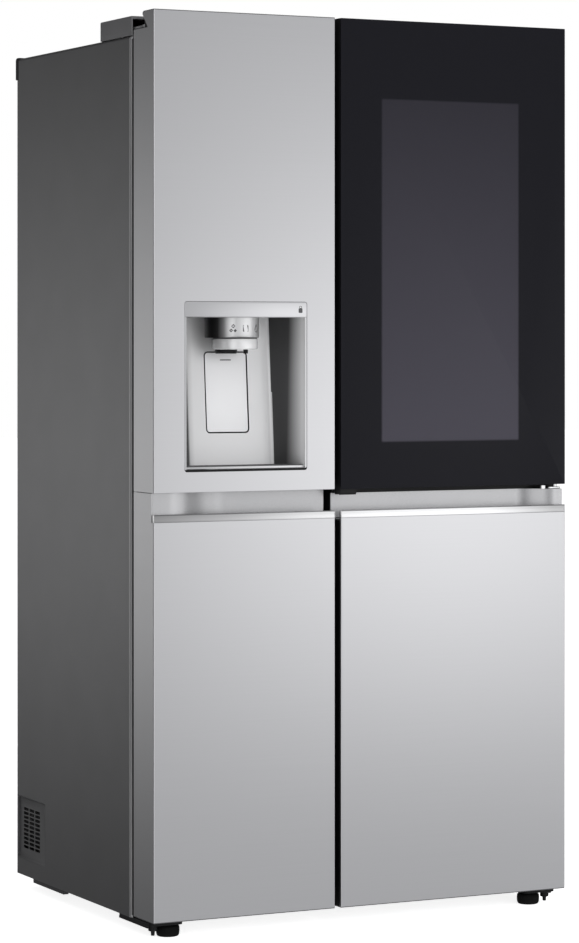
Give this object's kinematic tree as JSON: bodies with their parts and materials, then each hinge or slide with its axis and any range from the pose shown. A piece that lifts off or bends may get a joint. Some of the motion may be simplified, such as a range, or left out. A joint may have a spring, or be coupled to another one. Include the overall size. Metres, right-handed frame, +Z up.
{
  "type": "side by side refrigerator",
  "caption": "Side by side refrigerator-freezer with a recessed water and ice dispenser, pocket grips and a black glass door-in-door, on levelling feet and rear rollers.",
  "frame": {"origin": "on the floor, at the middle of the footprint", "axes": "+Z up, doors face -Y, +X to the right of someone facing the doors"},
  "size_m": [0.913, 0.735, 1.79],
  "materials": {
    "steel": "satin",
    "case_grey": "matte",
    "black_steel": "matte",
    "compressor_black": "satin",
    "zinc": "satin",
    "aluminium": "satin",
    "copper": "satin",
    "pocket_grey": "satin",
    "dispenser_grey": "satin",
    "black_plastic": "matte",
    "grey_plastic": "matte",
    "dark_grey": "matte",
    "frame_black": "satin",
    "white_plastic": "satin",
    "clear_plastic": "gloss",
    "shelf_glass": "gloss",
    "black_glass": "gloss",
    "foam": "matte",
    "door_foam": "matte",
    "gasket": "matte",
    "rubber": "matte"
  },
  "bodies": {
    "cabinet": {"outer_case": "case_grey", "back_panel": "case_grey", "base_pan": "zinc", "machine_cover": "dark_grey", "insulation": "foam", "freezer_liner": "white_plastic", "fridge_liner": "white_plastic", "front_frame": "case_grey", "freezer_duct": "white_plastic", "evaporator": "aluminium", "compressor": "compressor_black", "condenser": "copper", "freezer_shelf": "shelf_glass", "fridge_shelf_1": "shelf_glass", "fridge_shelf_2": "shelf_glass", "top_hinge_left": "zinc", "top_hinge_right": "zinc", "bottom_hinge_left": "black_steel", "bottom_hinge_right": "black_steel", "hinge_cover_left": "grey_plastic", "hinge_cover_right": "grey_plastic", "rear_cap_left": "black_plastic", "rear_cap_right": "black_plastic"},
    "freezer_door": {"freezer_upper_skin": "steel", "freezer_lower_skin": "steel", "freezer_door_core": "door_foam", "freezer_door_liner": "white_plastic", "freezer_gasket": "gasket", "freezer_handle_pocket": "pocket_grey", "freezer_handle_lip": "aluminium", "freezer_bin_1": "clear_plastic", "freezer_bin_2": "clear_plastic", "ice_bin": "clear_plastic", "dispenser_housing": "dispenser_grey", "dispenser_control": "dispenser_grey", "dispenser_head": "dispenser_grey", "dispenser_tray": "dark_grey"},
    "fridge_door": {"fridge_lower_skin": "steel", "fridge_door_core": "door_foam", "fridge_door_liner": "white_plastic", "fridge_gasket": "gasket", "fridge_handle_pocket": "pocket_grey", "fridge_handle_lip": "aluminium", "fridge_bin": "clear_plastic", "did_bin": "clear_plastic", "did_hinge_top": "zinc", "did_hinge_bottom": "zinc"},
    "glass_door": {"glass_panel": "black_glass", "glass_door_frame": "frame_black"},
    "paddle": {"dispenser_paddle": "dispenser_grey"},
    "latch": {"did_latch": "black_plastic"},
    "freezer_tub_upper": {"freezer_drawer_upper": "clear_plastic"},
    "freezer_tub_lower": {"freezer_drawer_lower": "clear_plastic"},
    "crisper_tub_upper": {"crisper_upper": "clear_plastic"},
    "crisper_tub_lower": {"crisper_lower": "clear_plastic"},
    "left_foot": {"foot_left": "rubber"},
    "right_foot": {"foot_right": "rubber"},
    "left_roller": {"rear_roller_left": "rubber"},
    "right_roller": {"rear_roller_right": "rubber"},
    "fan": {"condenser_fan": "black_plastic"}
  },
  "joints": [
    {"name": "freezer_door_hinge", "type": "hinge", "parent": "cabinet", "child": "freezer_door", "pos_m": [-0.4365, -0.2901, 0.9], "axis": [0, 0, -1], "range_deg": [0, 110]},
    {"name": "fridge_door_hinge", "type": "hinge", "parent": "cabinet", "child": "fridge_door", "pos_m": [0.4365, -0.2901, 0.9], "axis": [0, 0, 1], "range_deg": [0, 110]},
    {"name": "glass_door_hinge", "type": "hinge", "parent": "fridge_door", "child": "glass_door", "pos_m": [0.4455, -0.344, 1.3], "axis": [0, 0, 1], "range_deg": [0, 95]},
    {"name": "paddle_pivot", "type": "hinge", "parent": "freezer_door", "child": "paddle", "pos_m": [-0.2604, -0.26578, 1.129], "axis": [1, 0, 0], "range_deg": [0, 4.5], "stiffness_Nm_per_rad": 0.5, "springref_deg": -2.86},
    {"name": "latch_slide", "type": "slide", "parent": "glass_door", "child": "latch", "axis": [0, 0, 1], "range_m": [0, 0.004], "stiffness_N_per_m": 300, "springref_m": -0.002},
    {"name": "freezer_upper_slide", "type": "slide", "parent": "cabinet", "child": "freezer_tub_upper", "axis": [0, -1, 0], "range_m": [0, 0.045]},
    {"name": "freezer_lower_slide", "type": "slide", "parent": "cabinet", "child": "freezer_tub_lower", "axis": [0, -1, 0], "range_m": [0, 0.045]},
    {"name": "crisper_upper_slide", "type": "slide", "parent": "cabinet", "child": "crisper_tub_upper", "axis": [0, -1, 0], "range_m": [0, 0.045]},
    {"name": "crisper_lower_slide", "type": "slide", "parent": "cabinet", "child": "crisper_tub_lower", "axis": [0, -1, 0], "range_m": [0, 0.045]},
    {"name": "left_foot_screw", "type": "hinge", "parent": "cabinet", "child": "left_foot", "pos_m": [-0.402, -0.3105, 0.01], "axis": [0, 0, 1], "continuous": true},
    {"name": "right_foot_screw", "type": "hinge", "parent": "cabinet", "child": "right_foot", "pos_m": [0.402, -0.3105, 0.01], "axis": [0, 0, 1], "continuous": true},
    {"name": "left_roller_axle", "type": "hinge", "parent": "cabinet", "child": "left_roller", "pos_m": [-0.36, 0.2325, 0.02], "axis": [1, 0, 0], "continuous": true},
    {"name": "right_roller_axle", "type": "hinge", "parent": "cabinet", "child": "right_roller", "pos_m": [0.36, 0.2325, 0.02], "axis": [1, 0, 0], "continuous": true},
    {"name": "fan_axis", "type": "hinge", "parent": "cabinet", "child": "fan", "pos_m": [-0.03, 0.22, 0.13], "axis": [1, 0, 0], "continuous": true}
  ]
}
